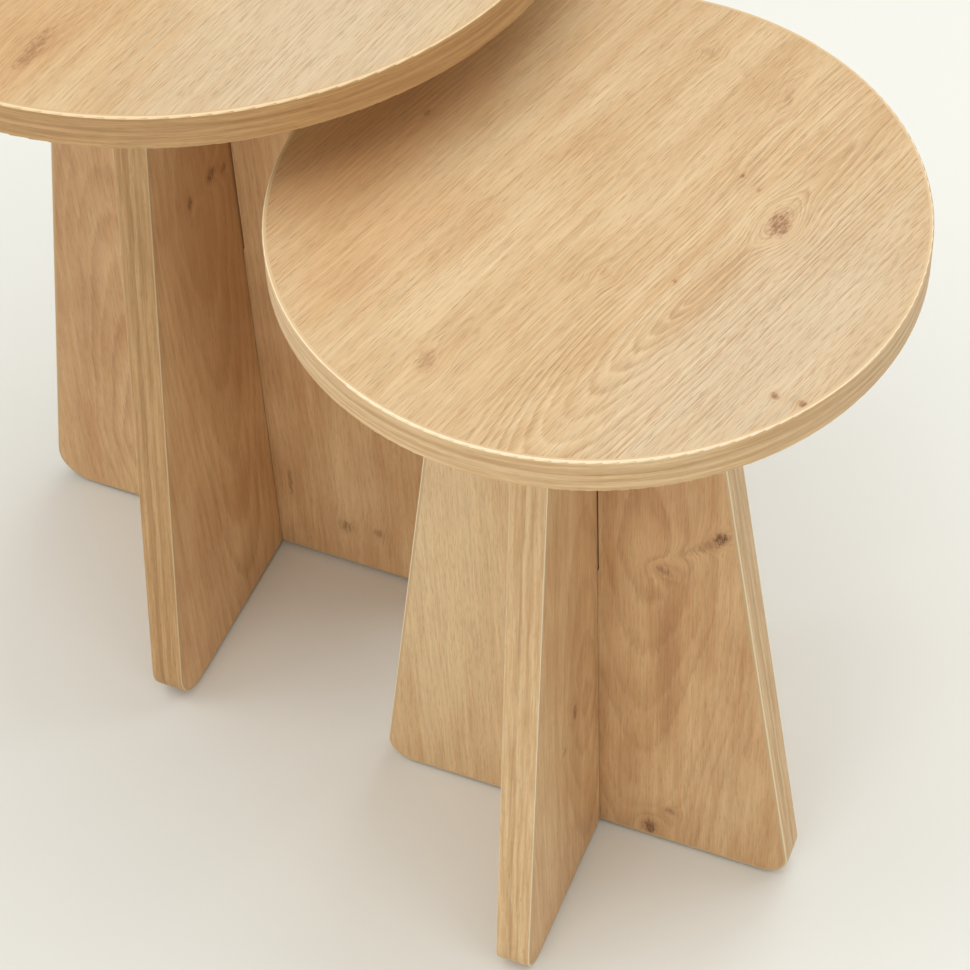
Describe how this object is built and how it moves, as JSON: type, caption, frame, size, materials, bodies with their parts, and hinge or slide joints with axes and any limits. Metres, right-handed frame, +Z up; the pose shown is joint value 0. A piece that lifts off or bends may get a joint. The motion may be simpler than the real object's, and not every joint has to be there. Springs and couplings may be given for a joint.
{
  "type": "nesting tables",
  "caption": "Pair of round nesting side tables in oak-look board, each top standing on a cross of two tapered leg panels; the low table slides in under the high one.",
  "frame": {"origin": "on the floor under the middle of the pair's bounding box, as the pair stands half nested", "axes": "+Z up; +X from the high table's middle to the low table's middle, which is the way the low table slides out; +Y to the left of that"},
  "size_m": [0.6339, 0.4, 0.523],
  "materials": {
    "oak_board": "satin wood-print melamine, light oak with knots",
    "oak_board_legs": "satin wood-print melamine, upright oak grain with knots",
    "oak_band": "satin wood-print edge band, grain along its length",
    "cam_zinc": "die-cast zinc, plain",
    "bolt_steel": "zinc-plated steel",
    "dowel_beech": "bare beech",
    "glide_plastic": "matt grey-beige plastic",
    "nail_steel": "bright steel"
  },
  "bodies": {
    "large_table": {"large_cam_bolts": "bolt_steel", "large_cams": "cam_zinc", "large_dowels": "dowel_beech", "large_glide_nails": "nail_steel", "large_glides": "glide_plastic", "large_leg_panel_a": "oak_board_legs", "large_leg_panel_b": "oak_board_legs", "large_panel_a_edge_band": "oak_band", "large_panel_b_edge_bands": "oak_band", "large_top_board": "oak_board", "large_top_edge_band": "oak_band"},
    "small_table": {"small_cam_bolts": "bolt_steel", "small_cams": "cam_zinc", "small_dowels": "dowel_beech", "small_glide_nails": "nail_steel", "small_glides": "glide_plastic", "small_leg_panel_a": "oak_board_legs", "small_leg_panel_b": "oak_board_legs", "small_panel_a_edge_band": "oak_band", "small_panel_b_edge_bands": "oak_band", "small_top_board": "oak_board", "small_top_edge_band": "oak_band"}
  },
  "joints": [
    {"name": "nesting_slide", "type": "slide", "parent": "large_table", "child": "small_table", "axis": [1, 0, 0], "range_m": [-0.057, 0.12]}
  ]
}
